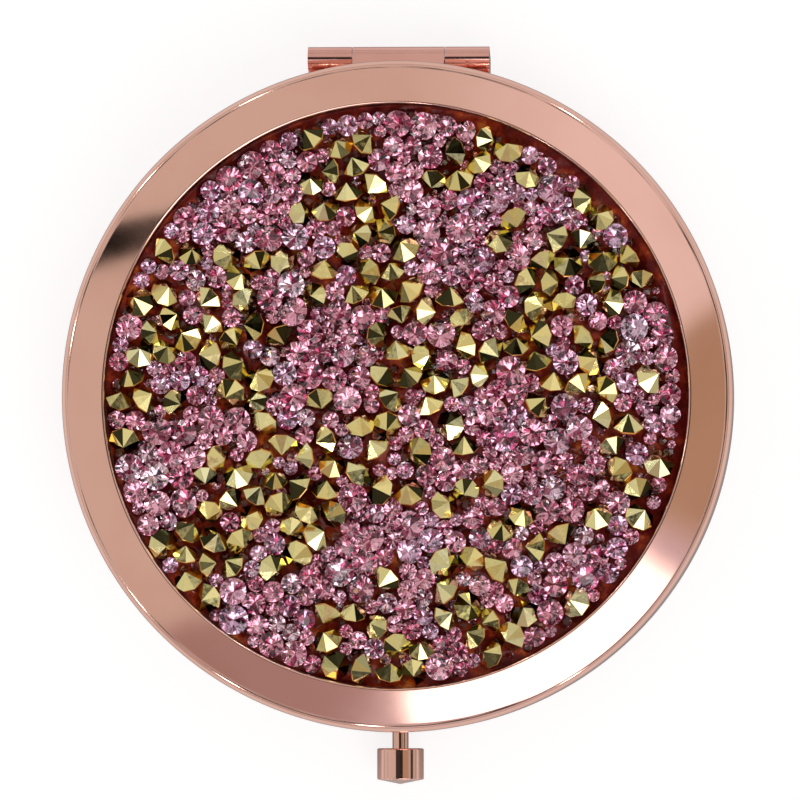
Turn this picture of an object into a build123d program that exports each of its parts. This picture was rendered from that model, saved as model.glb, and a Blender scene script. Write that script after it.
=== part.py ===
from build123d import *

import math
import os
import random

import numpy as np

# Round powder compact, shut. Millimetres, +Z up, the hinge at +Y and the push button at -Y.
# The origin is the centre of the flat underside that it rests on.

# Case
CASE_R = 35.0
SHEET = 0.7
BASE_H = 7.2
BASE_CORNER_R = 3.0
PARTING_GAP = 0.15
LID_BOTTOM = BASE_H + PARTING_GAP
INNER_R = CASE_R - SHEET

# Lid rim: it falls outwards from the tray's edge, slightly crowned, and rolls over into the wall
TRAY_R = 30.4
RIM_TOP = 13.4
RIM_FALL = 1.15
RIM_CROWN = 0.10
RIM_SHEET = 0.6
RIM_ROLL_R = 1.3
RIM_LIP_R = 0.22
TRAY_DEPTH = 1.8
TRAY_FLOOR_TOP = RIM_TOP - TRAY_DEPTH
TRAY_FLOOR_UNDER = TRAY_FLOOR_TOP - RIM_SHEET

# Inlay
FIT_GAP = 0.05
BACKING_T = 0.3
RESIN_T = 0.6
STONE_FLOOR = TRAY_FLOOR_TOP + BACKING_T + FIT_GAP
STONE_FIELD_R = TRAY_R - 0.55
STONE_FIELD_SHIFT = (-0.3, -0.25)  # a strip of bare resin is left on the other side
STONE_TYPES = (  # name, how many, smallest and largest radius
    ("large", 280, 1.22, 1.50),
    ("medium", 150, 0.90, 1.15),
    ("small", 150, 0.60, 0.84),
)
GOLD_COUNT = 186
GOLD_TILT = (16.0, 58.0)
PINK_TILT = (0.0, 18.0)
STONE_SIDES = 8
TABLE_SHARE = 0.55
CROWN_SHARE = 0.28
PAVILION_SHARE = 0.86
STONE_GAP = 0.012
STONE_SEED = 11

# Hinge
HINGE_Y = CASE_R + 0.5
HINGE_Z = BASE_H + PARTING_GAP / 2
KNUCKLE_R = 1.2
HINGE_HALF_W = 9.5
MIDDLE_HALF_W = 4.8
KNUCKLE_GAP = 0.08
PIN_R = 0.5
PIN_CLEARANCE = 0.04
NOTCH_R = KNUCKLE_R + 0.15
LEAF_REACH = 1.7
LEAF_SLOPE = 20.0  # of the middle leaf's top face, in degrees

# Well frame, powder and puff
FRAME_R = INNER_R - 0.2
FRAME_TOP = 6.9
FRAME_SHEET = 0.5
WELL_R = 27.2
PAD_R = 15.0
PAD_T = 0.4
PAN_R = WELL_R - 0.3
PAN_SHEET = 0.35
PAN_FLOOR_Z = SHEET + PAD_T
PAN_TOP = 5.0
POWDER_R = PAN_R - PAN_SHEET - FIT_GAP
POWDER_TOP = 4.5
PUFF_R = 22.0
PUFF_Z = POWDER_TOP + 0.1
PUFF_T = 2.9
SATIN_T = 0.3
RIBBON_W = 13.0
RIBBON_T = 0.35

# Mirror
BEZEL_IN_R = 28.4
BEZEL_Z = 8.7
BEZEL_SHEET = 0.5
MIRROR_R = 29.6
MIRROR_Z = BEZEL_Z + BEZEL_SHEET + FIT_GAP
MIRROR_T = 1.5
ADHESIVE_R = 28.5

# Button and latch, on an axis along Y
BUTTON_Z = 3.9
STEM_R = 0.85
STEM_START = -38.2
STEM_END = -29.0
CAP_R = 2.45
CAP_INNER_Y = -36.75
CAP_OUTER_Y = -40.0
CAP_POINT = 0.5
CAP_EDGE_R = 0.15
BUSH_R = 1.2
BUSH_BORE_R = STEM_R + 0.05
BUSH_INNER_Y = -32.6
HOOK_Y = (-32.5, -32.0)
HOOK_HALF_W = 1.8
HOOK_BOTTOM = 2.7
HOOK_NOSE_Y = -33.2
HOOK_NOSE_Z = (5.7, 6.2)
SPRING_SEAT_Y = -29.9
BRACKET_T = 0.5
BRACKET_HALF_W = 2.5
BRACKET_TOP = 6.1
BRACKET_FOOT_Y = -31.4
SPRING_WIRE_R = 0.1
SPRING_R = 1.3
SPRING_TURNS = 3.5
STRIKER_HALF_W = 2.2
STRIKER_Y = (-33.9, -33.4)
STRIKER_LIP_Y = -32.85
STRIKER_LIP_Z = (5.15, 5.6)
STRIKER_FOOT_Y = -30.5
SLOT_HALF_W = 2.8


# ---------- shared shapes ----------


def turned(outline, radii=None):
    """Solid of revolution about Z from a closed outline of (radius, height) points, with a fillet radius for each."""
    radii = radii or [0] * len(outline)
    edge = FilletPolyline(*outline, radius=radii, close=True)
    return revolve(Plane.XZ * make_face(edge), Axis.Z)


def disc(radius, low, high):
    """Plain disc on the Z axis."""
    return Pos(0, 0, (low + high) / 2) * Cylinder(radius, high - low)


def rod_x(radius, x_low, x_high):
    """Cylinder on the hinge's axis."""
    middle = (x_low + x_high) / 2
    return Pos(middle, HINGE_Y, HINGE_Z) * Rot(0, 90, 0) * Cylinder(radius, x_high - x_low)


def rod_y(radius, y_low, y_high):
    """Cylinder on the button's axis."""
    middle = (y_low + y_high) / 2
    return Pos(0, middle, BUTTON_Z) * Rot(90, 0, 0) * Cylinder(radius, y_high - y_low)


def block(x, y, z):
    """Box between two values on each axis."""
    size = [high - low for low, high in (x, y, z)]
    centre = [(low + high) / 2 for low, high in (x, y, z)]
    return Pos(*centre) * Box(*size)


def side_plate(outline, x_low, x_high):
    """Plate with an outline of (y, z) points, between two x values."""
    face = make_face(Polyline(*outline, close=True))
    return extrude(Plane.YZ.offset(x_low) * face, x_high - x_low)


def hinge_notch(radius=NOTCH_R):
    """Room for the knuckles, cut out of whatever is around the hinge's axis."""
    return rod_x(radius, -HINGE_HALF_W - 0.15, HINGE_HALF_W + 0.15)


# ---------- base ----------


def base_shell():
    """Stamped tray with a rounded bottom corner, notched for the knuckles and bored for the button's bush."""
    outline = [(0, 0), (CASE_R, 0), (CASE_R, BASE_H), (INNER_R, BASE_H), (INNER_R, SHEET), (0, SHEET)]
    shell = turned(outline, [0, BASE_CORNER_R, 0.15, 0.15, BASE_CORNER_R - SHEET, 0])
    return shell - hinge_notch() - rod_y(BUSH_R, -CASE_R - 1, -INNER_R + 1)


def base_hinge_bracket():
    """Leaf against the base's wall, with the two outer knuckles and a gap for the middle one."""
    leaf_low = HINGE_Z - NOTCH_R - LEAF_REACH
    tangent = KNUCKLE_R * math.sqrt(0.5)
    ear = [
        (HINGE_Y + tangent, HINGE_Z - tangent),
        (HINGE_Y, HINGE_Z),
        (HINGE_Y - KNUCKLE_R, HINGE_Z),
        (HINGE_Y - 2.2, HINGE_Z - NOTCH_R),
        (HINGE_Y - 2.2, leaf_low),
        (HINGE_Y + 0.1, leaf_low),
    ]
    web = [
        (HINGE_Y + tangent - 0.35, HINGE_Z - NOTCH_R - 0.2),
        (HINGE_Y - 2.2, HINGE_Z - NOTCH_R - 0.2),
        (HINGE_Y - 2.2, leaf_low),
        (HINGE_Y + 0.1, leaf_low),
    ]
    inner_x = MIDDLE_HALF_W + KNUCKLE_GAP
    bracket = side_plate(web, -inner_x, inner_x)
    for x_low, x_high in ((-HINGE_HALF_W, -inner_x), (inner_x, HINGE_HALF_W)):
        bracket += side_plate(ear, x_low, x_high) + rod_x(KNUCKLE_R, x_low, x_high)
    bracket -= Cylinder(CASE_R, 4 * CASE_R)
    return bracket - rod_x(PIN_R, -HINGE_HALF_W - 1, HINGE_HALF_W + 1)


def hinge_pin():
    """Plain pin, flush with the outer knuckles."""
    return rod_x(PIN_R, -HINGE_HALF_W, HINGE_HALF_W)


def well_frame():
    """Stamped ring: a flange round the powder well, with a slot that lets the striker through."""
    under = FRAME_TOP - FRAME_SHEET
    outline = [
        (WELL_R, SHEET),
        (WELL_R, FRAME_TOP),
        (FRAME_R, FRAME_TOP),
        (FRAME_R, under),
        (WELL_R + FRAME_SHEET, under),
        (WELL_R + FRAME_SHEET, SHEET),
    ]
    frame = turned(outline, [0, 0.4, 0.2, 0, 0, 0])
    slot = block((-SLOT_HALF_W, SLOT_HALF_W), (-FRAME_R - 1, -31.9), (under - 1, FRAME_TOP + 1))
    return frame - slot - hinge_notch()


def pan_adhesive():
    """Double-sided pad that holds the pan to the floor."""
    return disc(PAD_R, SHEET, PAN_FLOOR_Z)


def powder_pan():
    """Thin round pan for the pressed powder."""
    outline = [
        (0, PAN_FLOOR_Z),
        (PAN_R, PAN_FLOOR_Z),
        (PAN_R, PAN_TOP),
        (PAN_R - PAN_SHEET, PAN_TOP),
        (PAN_R - PAN_SHEET, PAN_FLOOR_Z + PAN_SHEET),
        (0, PAN_FLOOR_Z + PAN_SHEET),
    ]
    return turned(outline, [0, 0.6, 0.1, 0.1, 0.25, 0])


def powder_cake():
    """Pressed powder, a plain disc with a softened edge."""
    low = PAN_FLOOR_Z + PAN_SHEET
    return turned([(0, low), (POWDER_R, low), (POWDER_R, POWDER_TOP), (0, POWDER_TOP)], [0, 0.3, 0.4, 0])


def puff_pad():
    """Round velour pad with soft edges."""
    high = PUFF_Z + PUFF_T
    return turned([(0, PUFF_Z), (PUFF_R, PUFF_Z), (PUFF_R, high), (0, high)], [0, 1.2, 1.0, 0])


def puff_satin_back():
    """Satin disc sewn to the pad's upper side."""
    low = PUFF_Z + PUFF_T
    return turned([(0, low), (PUFF_R - 0.9, low), (PUFF_R - 0.9, low + SATIN_T), (0, low + SATIN_T)], [0, 0, 0.2, 0])


def puff_ribbon():
    """Flat band across the puff's back, for two fingers."""
    low = PUFF_Z + PUFF_T + SATIN_T
    band = block((-RIBBON_W / 2, RIBBON_W / 2), (-PUFF_R, PUFF_R), (low, low + RIBBON_T))
    return band & disc(PUFF_R - 1.0, low - 1, low + 1)


# ---------- lid ----------


def lid_shell():
    """Stamped lid: wall, crowned sloping rim and a sunken tray, in one sheet."""
    rim_edge_z = RIM_TOP - RIM_FALL
    roll_under = rim_edge_z - RIM_SHEET + 0.15
    crown = ThreePointArc(
        (TRAY_R, RIM_TOP),
        ((TRAY_R + CASE_R) / 2, (RIM_TOP + rim_edge_z) / 2 + RIM_CROWN),
        (CASE_R, rim_edge_z),
    )
    rest = Polyline(
        (CASE_R, rim_edge_z),
        (CASE_R, LID_BOTTOM),
        (INNER_R, LID_BOTTOM),
        (INNER_R, roll_under),
        (TRAY_R + RIM_SHEET, RIM_TOP - RIM_SHEET - 0.05),
        (TRAY_R + RIM_SHEET, TRAY_FLOOR_UNDER),
        (0, TRAY_FLOOR_UNDER),
        (0, TRAY_FLOOR_TOP),
        (TRAY_R, TRAY_FLOOR_TOP),
        (TRAY_R, RIM_TOP),
    )
    outline = make_face(crown + rest)

    def corner(r, z):
        return [v for v in outline.vertices() if abs(v.X - r) < 0.01 and abs(v.Y - z) < 0.01]

    outline = fillet(corner(CASE_R, rim_edge_z), RIM_ROLL_R)
    outline = fillet(corner(INNER_R, roll_under), RIM_ROLL_R - SHEET)
    outline = fillet(corner(TRAY_R, RIM_TOP), RIM_LIP_R)
    outline = fillet(corner(CASE_R, LID_BOTTOM) + corner(INNER_R, LID_BOTTOM), 0.15)
    return revolve(Plane.XZ * outline, Axis.Z) - hinge_notch()


def lid_hinge_leaf():
    """Middle knuckle with the short leaf that rises gently from it to the lid's wall."""
    slope = math.radians(LEAF_SLOPE)
    bend_y = HINGE_Y + KNUCKLE_R * math.sin(slope)
    bend_z = HINGE_Z + KNUCKLE_R * math.cos(slope)
    leaf_y = CASE_R - 0.6
    leaf = [
        (bend_y, bend_z),
        (leaf_y, bend_z + (bend_y - leaf_y) * math.tan(slope)),
        (leaf_y, HINGE_Z + 0.3),
        (HINGE_Y, HINGE_Z),
    ]
    knuckle = side_plate(leaf, -MIDDLE_HALF_W, MIDDLE_HALF_W) - Cylinder(CASE_R, 4 * CASE_R)
    knuckle += rod_x(KNUCKLE_R, -MIDDLE_HALF_W, MIDDLE_HALF_W)
    return knuckle - rod_x(PIN_R + PIN_CLEARANCE, -HINGE_HALF_W, HINGE_HALF_W)


def stone_backing():
    """Thin disc in the tray that carries the inlay."""
    return disc(TRAY_R - FIT_GAP, TRAY_FLOOR_TOP, TRAY_FLOOR_TOP + BACKING_T)


def resin_bed():
    """Clear resin that the stones sit in."""
    low = TRAY_FLOOR_TOP + BACKING_T
    return disc(TRAY_R - FIT_GAP, low, low + RESIN_T)


def mirror():
    """Round mirror glass."""
    outline = [
        (0, MIRROR_Z),
        (MIRROR_R, MIRROR_Z),
        (MIRROR_R, MIRROR_Z + MIRROR_T),
        (0, MIRROR_Z + MIRROR_T),
    ]
    return turned(outline, [0, 0.15, 0.15, 0])


def mirror_adhesive():
    """Adhesive disc between the mirror and the underside of the tray."""
    return disc(ADHESIVE_R, MIRROR_Z + MIRROR_T, TRAY_FLOOR_UNDER)


def mirror_bezel():
    """Ring that holds the mirror's edge: an inner flange and an outer collar inside the lid's wall."""
    collar_top = 11.0
    outline = [
        (BEZEL_IN_R, BEZEL_Z),
        (FRAME_R, BEZEL_Z),
        (FRAME_R, collar_top),
        (FRAME_R - BEZEL_SHEET, collar_top),
        (FRAME_R - BEZEL_SHEET, BEZEL_Z + BEZEL_SHEET),
        (BEZEL_IN_R, BEZEL_Z + BEZEL_SHEET),
    ]
    return turned(outline, [0.2, 0.4, 0, 0, 0, 0.2])


def striker():
    """Bent strip under the bezel: a foot, a tongue that hangs into the base and a lip that the hook holds."""
    x = (-STRIKER_HALF_W, STRIKER_HALF_W)
    foot_z = (BEZEL_Z - 0.5, BEZEL_Z)
    outline = [
        (STRIKER_Y[0], foot_z[1]),
        (STRIKER_FOOT_Y, foot_z[1]),
        (STRIKER_FOOT_Y, foot_z[0]),
        (STRIKER_Y[1], foot_z[0]),
        (STRIKER_Y[1], STRIKER_LIP_Z[1]),
        (STRIKER_LIP_Y, STRIKER_LIP_Z[1]),
        (STRIKER_Y[1], STRIKER_LIP_Z[0]),
        (STRIKER_Y[0], STRIKER_LIP_Z[0]),
    ]
    strip = side_plate(outline, *x)
    return strip & Cylinder(FRAME_R, 4 * CASE_R)


# ---------- stones ----------


def packed_circles(sizes, field_r, rng):
    """Centres for circles inside a disc: random at first, then pushed apart until they only touch."""
    count = len(sizes)
    turn = rng.uniform(0, 2 * math.pi, count)
    reach = field_r * np.sqrt(rng.uniform(0, 1, count))
    at = np.stack([reach * np.cos(turn), reach * np.sin(turn)], axis=1)
    wanted = sizes[:, None] + sizes[None, :]
    for _ in range(900):
        apart = at[:, None, :] - at[None, :, :]
        distance = np.hypot(apart[..., 0], apart[..., 1]) + np.eye(count) * 1e6
        push = np.clip(wanted - distance, 0, None) * 0.5 / distance
        at = at + (apart * push[..., None]).sum(axis=1)
        out = np.hypot(at[:, 0], at[:, 1])
        at = at * np.minimum(1, (field_r - sizes) / np.maximum(out, 1e-9))[:, None]
    return at


def fitted_radii(at, sizes):
    """Each circle's radius, shrunk where a neighbour is still too close."""
    distance = np.hypot(*(at[:, None, :] - at[None, :, :]).transpose(2, 0, 1)) + np.eye(len(sizes)) * 1e6
    share = sizes[:, None] / (sizes[:, None] + sizes[None, :])
    return np.minimum(sizes, (distance * share).min(axis=1)) - STONE_GAP


def drift(x, y):
    """Slow wave over the field, which gathers the gold stones in loose chains."""
    waves = math.sin(0.31 * x + 0.12 * y + 0.6) + math.sin(0.27 * y - 0.19 * x + 2.1)
    return waves + 0.8 * math.sin(0.52 * x + 0.47 * y) * math.sin(0.44 * y - 0.35 * x)


def chaton(radius):
    """Point-back stone on its girdle's centre: an eight-sided table above, a point below."""
    ring = [2 * math.pi * (i + 0.5) / STONE_SIDES for i in range(STONE_SIDES)]
    table = [Vector(math.cos(a), math.sin(a), 0) * TABLE_SHARE * radius for a in ring]
    table = [point + Vector(0, 0, CROWN_SHARE * radius) for point in table]
    girdle = [Vector(math.cos(a), math.sin(a), 0) * radius for a in ring]
    point = Vector(0, 0, -PAVILION_SHARE * radius)
    outlines = [table]
    for i in range(STONE_SIDES):
        j = (i + 1) % STONE_SIDES
        outlines += [[table[i], table[j], girdle[j], girdle[i]], [girdle[i], girdle[j], point]]
    faces = [Face(Wire.make_polygon(outline, close=True)) for outline in outlines]
    return Solid(Shell(faces)), table + girdle + [point]


def set_stone(x, y, radius, turn, tilt, tilt_way, upside_down):
    """A stone at (x, y), turned, leant over, and lowered until it stands on the backing disc."""
    solid, corners = chaton(radius)
    lean = Rot(0, 0, tilt_way) * Rot(tilt, 0, 0) * Rot(0, 0, turn - tilt_way)
    if upside_down:
        lean = lean * Rot(180, 0, 0)
    lowest = min((lean * Pos(*corner)).position.Z for corner in corners)
    return Pos(x, y, STONE_FLOOR - lowest) * lean * solid


def stones():
    """The inlay's stones as two groups, gold ones with their points up and pink ones with their tables up."""
    rng = np.random.default_rng(STONE_SEED)
    dice = random.Random(STONE_SEED)
    sizes = np.concatenate([rng.uniform(low, high, count) for _, count, low, high in STONE_TYPES])
    at = packed_circles(sizes, STONE_FIELD_R, rng)
    radii = fitted_radii(at, sizes)
    large = range(STONE_TYPES[0][1])
    liking = {i: drift(*at[i]) + 2.5 * radii[i] + dice.uniform(-0.9, 0.9) for i in large}
    ranked = sorted(large, key=liking.get, reverse=True)
    golden = set(ranked[:GOLD_COUNT])
    groups = {"gold": [], "pink": []}
    for i, (x, y) in enumerate(at):
        gold = i in golden
        tilt = dice.uniform(*(GOLD_TILT if gold else PINK_TILT))
        x += STONE_FIELD_SHIFT[0]
        y += STONE_FIELD_SHIFT[1]
        stone = set_stone(x, y, radii[i], dice.uniform(0, 360), tilt, dice.uniform(0, 360), gold)
        groups["gold" if gold else "pink"].append(stone)
    return Compound(groups["gold"]), Compound(groups["pink"])


# ---------- button and latch ----------


def button_cap():
    """Drum-shaped cap with a shallow cone for a face, bored for the stem."""
    outline = [(0, CAP_INNER_Y), (CAP_R, CAP_INNER_Y), (CAP_R, CAP_OUTER_Y), (0, CAP_OUTER_Y - CAP_POINT)]
    edge = FilletPolyline(*outline, radius=[0, CAP_EDGE_R, CAP_EDGE_R, 0], close=True)
    cap = Pos(0, 0, BUTTON_Z) * revolve(make_face(edge), Axis.Y)
    return cap - rod_y(STEM_R, STEM_START, CAP_INNER_Y + 1)


def button_stem():
    """Round stem from the cap to the spring's bracket."""
    return rod_y(STEM_R, STEM_START, STEM_END)


def button_bush():
    """Sleeve in the base's wall that guides the stem."""
    bush = rod_y(BUSH_R, -CASE_R, BUSH_INNER_Y) & Cylinder(CASE_R, 4 * CASE_R)
    return bush - rod_y(BUSH_BORE_R, -CASE_R - 1, BUSH_INNER_Y + 1)


def latch_hook():
    """Plate on the stem whose nose reaches over the striker's lip."""
    outline = [
        (HOOK_Y[0], HOOK_BOTTOM),
        (HOOK_Y[1], HOOK_BOTTOM),
        (HOOK_Y[1], HOOK_NOSE_Z[1]),
        (HOOK_Y[0] - 0.1, HOOK_NOSE_Z[1]),
        (HOOK_NOSE_Y, HOOK_NOSE_Z[0] + 0.15),
        (HOOK_NOSE_Y, HOOK_NOSE_Z[0]),
        (HOOK_Y[0], HOOK_NOSE_Z[0]),
    ]
    return side_plate(outline, -HOOK_HALF_W, HOOK_HALF_W) - rod_y(STEM_R, HOOK_Y[0] - 1, HOOK_Y[1] + 1)


def latch_bracket():
    """Bent plate on the base's floor that seats the spring and guides the stem's end."""
    outline = [
        (BRACKET_FOOT_Y, SHEET),
        (SPRING_SEAT_Y + BRACKET_T, SHEET),
        (SPRING_SEAT_Y + BRACKET_T, BRACKET_TOP),
        (SPRING_SEAT_Y, BRACKET_TOP),
        (SPRING_SEAT_Y, SHEET + BRACKET_T),
        (BRACKET_FOOT_Y, SHEET + BRACKET_T),
    ]
    plate = side_plate(outline, -BRACKET_HALF_W, BRACKET_HALF_W)
    return plate - rod_y(BUSH_BORE_R, SPRING_SEAT_Y - 1, SPRING_SEAT_Y + BRACKET_T + 1)


def button_spring():
    """Compression spring round the stem, between the hook and the bracket."""
    low, high = HOOK_Y[1] + SPRING_WIRE_R + 0.02, SPRING_SEAT_Y - SPRING_WIRE_R - 0.02
    length = high - low
    coil = Helix(pitch=length / SPRING_TURNS, height=length, radius=SPRING_R)
    wire = sweep(Plane(origin=coil @ 0, z_dir=coil % 0) * Circle(SPRING_WIRE_R), path=coil)
    return Pos(0, high, BUTTON_Z) * Rot(90, 0, 0) * wire


def main():
    gold_stones, pink_stones = stones()
    nodes = {
        "base_shell": base_shell(),
        "base_hinge_bracket": base_hinge_bracket(),
        "hinge_pin": hinge_pin(),
        "well_frame": well_frame(),
        "pan_adhesive": pan_adhesive(),
        "powder_pan": powder_pan(),
        "powder_cake": powder_cake(),
        "puff_pad": puff_pad(),
        "puff_satin_back": puff_satin_back(),
        "puff_ribbon": puff_ribbon(),
        "latch_bracket": latch_bracket(),
        "button_bush": button_bush(),
        "button_spring": button_spring(),
        "button_cap": button_cap(),
        "button_stem": button_stem(),
        "latch_hook": latch_hook(),
        "lid_shell": lid_shell(),
        "lid_hinge_leaf": lid_hinge_leaf(),
        "stone_backing": stone_backing(),
        "resin_bed": resin_bed(),
        "gold_stones": gold_stones,
        "pink_stones": pink_stones,
        "mirror": mirror(),
        "mirror_adhesive": mirror_adhesive(),
        "mirror_bezel": mirror_bezel(),
        "striker": striker(),
    }
    os.makedirs("parts", exist_ok=True)
    for name, shape in nodes.items():
        export_step(shape, os.path.join("parts", name + ".step"))


main()
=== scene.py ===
import math
import random

import bmesh
import bpy
import numpy as np
from mathutils import Matrix, Vector, noise
from mathutils.bvhtree import BVHTree


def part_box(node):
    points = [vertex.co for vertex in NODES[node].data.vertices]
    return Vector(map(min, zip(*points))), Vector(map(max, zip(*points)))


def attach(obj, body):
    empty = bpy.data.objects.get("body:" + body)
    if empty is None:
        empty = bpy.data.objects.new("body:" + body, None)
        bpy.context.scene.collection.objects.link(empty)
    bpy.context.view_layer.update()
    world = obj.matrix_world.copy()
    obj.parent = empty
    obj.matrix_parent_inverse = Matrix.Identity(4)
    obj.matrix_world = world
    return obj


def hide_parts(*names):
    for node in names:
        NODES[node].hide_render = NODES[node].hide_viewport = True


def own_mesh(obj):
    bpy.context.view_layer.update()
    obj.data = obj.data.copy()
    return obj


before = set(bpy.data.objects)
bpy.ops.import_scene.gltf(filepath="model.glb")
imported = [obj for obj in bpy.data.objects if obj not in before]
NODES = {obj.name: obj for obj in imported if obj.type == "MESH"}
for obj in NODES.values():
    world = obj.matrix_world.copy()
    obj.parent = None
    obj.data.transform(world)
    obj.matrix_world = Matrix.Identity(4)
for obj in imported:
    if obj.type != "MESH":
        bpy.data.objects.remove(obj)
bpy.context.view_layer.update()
MM = 0.001


# ---------- node graphs ----------


class Graph:
    """Short calls for building a node tree."""

    def __init__(self, tree):
        self.tree = tree

    def add(self, kind, **settings):
        node = self.tree.nodes.new("ShaderNode" + kind)
        for key, value in settings.items():
            setattr(node, key, value)
        return node

    def put(self, socket, value):
        if isinstance(value, bpy.types.NodeSocket):
            self.tree.links.new(value, socket)
        else:
            socket.default_value = value

    def math(self, operation, a, b=0.0, c=0.0):
        node = self.add("Math", operation=operation)
        for socket, value in zip(node.inputs, (a, b, c)):
            self.put(socket, value)
        return node.outputs[0]

    def ease(self, value, low, high, to_low=0.0, to_high=1.0):
        """Smooth step from to_low at low to to_high at high."""
        node = self.add("MapRange", interpolation_type="SMOOTHSTEP")
        for key, number in (("Value", value), ("From Min", low), ("From Max", high)):
            self.put(node.inputs[key], number)
        self.put(node.inputs["To Min"], to_low)
        self.put(node.inputs["To Max"], to_high)
        return node.outputs[0]

    def window(self, value, low, high, soft):
        """1 between low and high, with soft edges."""
        up = self.ease(value, low - soft, low + soft)
        down = self.ease(value, high - soft, high + soft, 1.0, 0.0)
        return self.math("MULTIPLY", up, down)

    def ramp(self, value, stops):
        """Colour ramp from (place, colour) stops."""
        node = self.add("ValToRGB")
        elements = node.color_ramp.elements
        elements.remove(elements[1])
        elements[0].position = stops[0][0]
        elements[0].color = (*stops[0][1], 1.0)
        for place, colour in stops[1:]:
            elements.new(place).color = (*colour, 1.0)
        self.put(node.inputs[0], value)
        return node.outputs[0]

    def mix(self, share, a, b, blend="MIX"):
        node = self.add("Mix", data_type="RGBA", blend_type=blend)
        self.put(node.inputs[0], share)
        for socket, colour in ((node.inputs[6], a), (node.inputs[7], b)):
            self.put(socket, colour if isinstance(colour, bpy.types.NodeSocket) else (*colour, 1.0))
        return node.outputs[2]

    def where(self):
        """The row frame's own coordinates, which move with the body."""
        return self.add("TexCoord").outputs["Object"]

    def stretch(self, place, scale):
        node = self.add("Mapping")
        self.put(node.inputs["Vector"], place)
        node.inputs["Scale"].default_value = scale
        return node.outputs[0]

    def noise(self, place, size_mm, detail=2.0, rough=0.5):
        node = self.add("TexNoise")
        self.put(node.inputs["Vector"], place)
        node.inputs["Scale"].default_value = 1.0 / (size_mm * MM)
        node.inputs["Detail"].default_value = detail
        node.inputs["Roughness"].default_value = rough
        return node.outputs[0]

    def wave(self, place, size_mm, direction, distort):
        node = self.add("TexWave", wave_type="BANDS", bands_direction=direction)
        self.put(node.inputs["Vector"], place)
        node.inputs["Scale"].default_value = 0.314 / (size_mm * MM)
        node.inputs["Distortion"].default_value = distort
        return node.outputs["Fac"]

    def bump(self, height, depth_mm, strength=1.0, under=None):
        node = self.add("Bump")
        node.inputs["Distance"].default_value = depth_mm * MM
        node.inputs["Strength"].default_value = strength
        self.put(node.inputs["Height"], height)
        if under is not None:
            self.put(node.inputs["Normal"], under)
        return node.outputs[0]


def new_material(name):
    """A Principled material: (material, graph, look), where look(input, value or socket) sets its shader."""
    material = bpy.data.materials.new(name)
    material.use_nodes = True
    shader = material.node_tree.nodes["Principled BSDF"]
    graph = Graph(material.node_tree)

    def look(key, value):
        graph.put(shader.inputs[key], value)

    return material, graph, look


def polished_metal(name, colour, deep, rough, ripple=0.004, scratch=0.35):
    """Plated, polished metal: faint tone drift, hairlines, uneven gloss and a very shallow ripple."""
    material, g, look = new_material(name)
    place = g.where()
    drift = g.noise(place, 9.0, 3.0)
    look("Base Color", g.mix(g.ease(drift, 0.35, 0.7), colour, deep))
    look("Metallic", 1.0)
    hair = g.noise(g.stretch(place, (1.0, 9.0, 1.0)), 0.35, 3.0, 0.65)
    cross = g.noise(g.stretch(place, (11.0, 1.0, 1.0)), 0.45, 3.0, 0.65)
    worn = g.math("MULTIPLY", g.ease(hair, 0.5, 0.78), scratch)
    worn = g.math("ADD", worn, g.math("MULTIPLY", g.ease(cross, 0.55, 0.8), scratch))
    smear = g.math("MULTIPLY", g.noise(place, 3.0, 2.0), 0.5)
    uneven = g.math("ADD", g.math("ADD", worn, smear), 0.75)
    look("Roughness", g.math("MULTIPLY", uneven, rough))
    wide = g.bump(g.noise(place, 5.0, 1.0), ripple, 0.6)
    look("Normal", g.bump(hair, 0.0006, 0.25, wide))
    return material


def brushed_metal(name, colour, rough, along):
    """Metal with a drawn or rolled grain along an axis."""
    material, g, look = new_material(name)
    place = g.where()
    grain = g.noise(g.stretch(place, along), 0.25, 4.0, 0.7)
    dark = tuple(0.72 * c for c in colour)
    look("Base Color", g.mix(g.ease(grain, 0.3, 0.7), dark, colour))
    look("Metallic", 1.0)
    look("Roughness", g.ease(grain, 0.2, 0.8, rough * 1.3, rough * 0.75))
    look("Normal", g.bump(grain, 0.004, 0.35))
    return material


# ---------- meshes ----------


def mesh_object(name, points, faces, materials, smooth=True, slots=None):
    """A mesh object in the row frame from arrays of points and faces."""
    mesh = bpy.data.meshes.new(name)
    mesh.from_pydata([tuple(p) for p in points], [], [tuple(f) for f in faces])
    for material in materials:
        mesh.materials.append(material)
    if slots is not None:
        mesh.polygons.foreach_set("material_index", slots)
    mesh.polygons.foreach_set("use_smooth", [smooth] * len(mesh.polygons))
    mesh.update()
    shape = bpy.data.objects.new(name, mesh)
    bpy.context.scene.collection.objects.link(shape)
    return shape


def place_piece(shape, body, slot, *nodes):
    """The piece rides on a body and stands for CAD nodes, which are hidden. slot is not used."""
    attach(shape, body)
    if nodes:
        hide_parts(*nodes)
    return shape


def turned_mesh(outline, around, bend=None):
    """Points and faces of a closed body of revolution. outline runs from axis to axis, in mm."""
    rows = []
    for radius, height in outline:
        if radius < 1e-6:
            rows.append([(0.0, 0.0, height)])
            continue
        ring = []
        for i in range(around):
            angle = 2 * math.pi * i / around
            r, z = (radius, height) if bend is None else bend(radius, height, angle)
            ring.append((r * math.cos(angle), r * math.sin(angle), z))
        rows.append(ring)
    points, starts = [], []
    for row in rows:
        starts.append(len(points))
        points.extend(row)
    faces = []
    for row, (a, b) in enumerate(zip(rows, rows[1:])):
        first, second = starts[row], starts[row + 1]
        for i in range(around):
            j = (i + 1) % around
            if len(a) == 1:
                faces.append((first, second + i, second + j))
            elif len(b) == 1:
                faces.append((first + i, second, first + j))
            else:
                faces.append((first + i, second + i, second + j, first + j))
    return np.array(points) * MM, faces


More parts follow.
